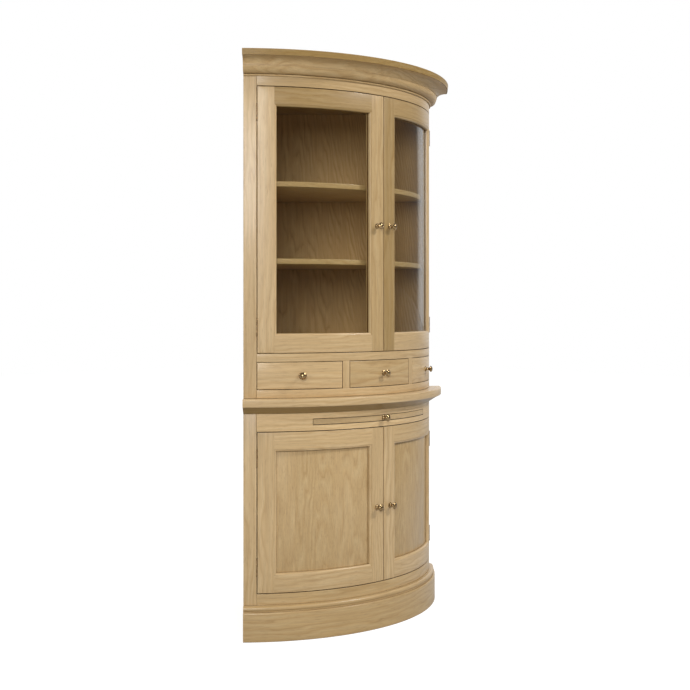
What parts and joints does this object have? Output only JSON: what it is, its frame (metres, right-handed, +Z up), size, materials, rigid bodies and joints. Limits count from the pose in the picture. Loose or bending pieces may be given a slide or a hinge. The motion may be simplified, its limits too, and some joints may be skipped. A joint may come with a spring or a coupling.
{
  "type": "glazed corner dresser",
  "caption": "Bow-fronted oak corner dresser: panelled doors below a pull-out slide, a row of drawers and glazed doors above, under a deep cornice.",
  "frame": {"origin": "on the floor, under the middle of the box that holds the dresser", "axes": "+Z up, -Y straight out of the room's corner towards the user, +X to the user's right"},
  "size_m": [1.0804, 0.764, 2],
  "materials": {
    "oak": "pale natural oak, waxed",
    "glass": "clear bent glass",
    "brass": "antiqued, satin"
  },
  "bodies": {
    "carcass": {"base_plinth": "oak", "base_left_stile": "oak", "base_right_stile": "oak", "base_top_rail": "oak", "base_floor": "oak", "base_left_back": "oak", "base_right_back": "oak", "base_shelf": "oak", "waist_board": "oak", "upper_left_stile": "oak", "upper_right_stile": "oak", "drawer_rail_frame": "oak", "frieze_rail": "oak", "upper_left_back": "oak", "upper_right_back": "oak", "drawer_board": "oak", "cupboard_floor": "oak", "lower_shelf": "oak", "upper_shelf": "oak", "roof_board": "oak", "cornice": "oak", "base_left_top_hinge_frame_leaf": "brass", "base_left_bottom_hinge_frame_leaf": "brass", "base_right_top_hinge_frame_leaf": "brass", "base_right_bottom_hinge_frame_leaf": "brass", "upper_left_top_hinge_frame_leaf": "brass", "upper_left_bottom_hinge_frame_leaf": "brass", "upper_right_top_hinge_frame_leaf": "brass", "upper_right_bottom_hinge_frame_leaf": "brass"},
    "base_left_door": {"base_left_door_frame": "oak", "base_left_door_panel": "oak", "base_left_door_knob": "brass", "base_left_top_hinge_door_leaf": "brass", "base_left_bottom_hinge_door_leaf": "brass"},
    "base_right_door": {"base_right_door_frame": "oak", "base_right_door_panel": "oak", "base_right_door_knob": "brass", "base_right_top_hinge_door_leaf": "brass", "base_right_bottom_hinge_door_leaf": "brass"},
    "upper_left_door": {"upper_left_door_frame": "oak", "upper_left_door_glass": "glass", "upper_left_door_knob": "brass", "upper_left_top_hinge_door_leaf": "brass", "upper_left_bottom_hinge_door_leaf": "brass"},
    "upper_right_door": {"upper_right_door_frame": "oak", "upper_right_door_glass": "glass", "upper_right_door_knob": "brass", "upper_right_top_hinge_door_leaf": "brass", "upper_right_bottom_hinge_door_leaf": "brass"},
    "left_drawer": {"left_drawer_front": "oak", "left_drawer_box": "oak", "left_drawer_knob": "brass"},
    "middle_drawer": {"middle_drawer_front": "oak", "middle_drawer_box": "oak", "middle_drawer_knob": "brass"},
    "right_drawer": {"right_drawer_front": "oak", "right_drawer_box": "oak", "right_drawer_knob": "brass"},
    "slide": {"slide_board": "oak", "slide_knob": "brass"}
  },
  "joints": [
    {"name": "base_left_door_hinge", "type": "hinge", "parent": "carcass", "child": "base_left_door", "pos_m": [-0.45427, -0.13764, 0.434], "axis": [0, 0, -1], "range_deg": [0, 100]},
    {"name": "base_right_door_hinge", "type": "hinge", "parent": "carcass", "child": "base_right_door", "pos_m": [0.45427, -0.13764, 0.434], "axis": [0, 0, 1], "range_deg": [0, 100]},
    {"name": "upper_left_door_hinge", "type": "hinge", "parent": "carcass", "child": "upper_left_door", "pos_m": [-0.45427, -0.13764, 1.43175], "axis": [0, 0, -1], "range_deg": [0, 100]},
    {"name": "upper_right_door_hinge", "type": "hinge", "parent": "carcass", "child": "upper_right_door", "pos_m": [0.45427, -0.13764, 1.43175], "axis": [0, 0, 1], "range_deg": [0, 100]},
    {"name": "left_drawer_run", "type": "slide", "parent": "carcass", "child": "left_drawer", "axis": [-0.4751, -0.8799, 0], "range_m": [0, 0.2]},
    {"name": "middle_drawer_run", "type": "slide", "parent": "carcass", "child": "middle_drawer", "axis": [0, -1, 0], "range_m": [0, 0.2]},
    {"name": "right_drawer_run", "type": "slide", "parent": "carcass", "child": "right_drawer", "axis": [0.4751, -0.8799, 0], "range_m": [0, 0.2]},
    {"name": "slide_run", "type": "slide", "parent": "carcass", "child": "slide", "axis": [0, -1, 0], "range_m": [0, 0.18]}
  ]
}
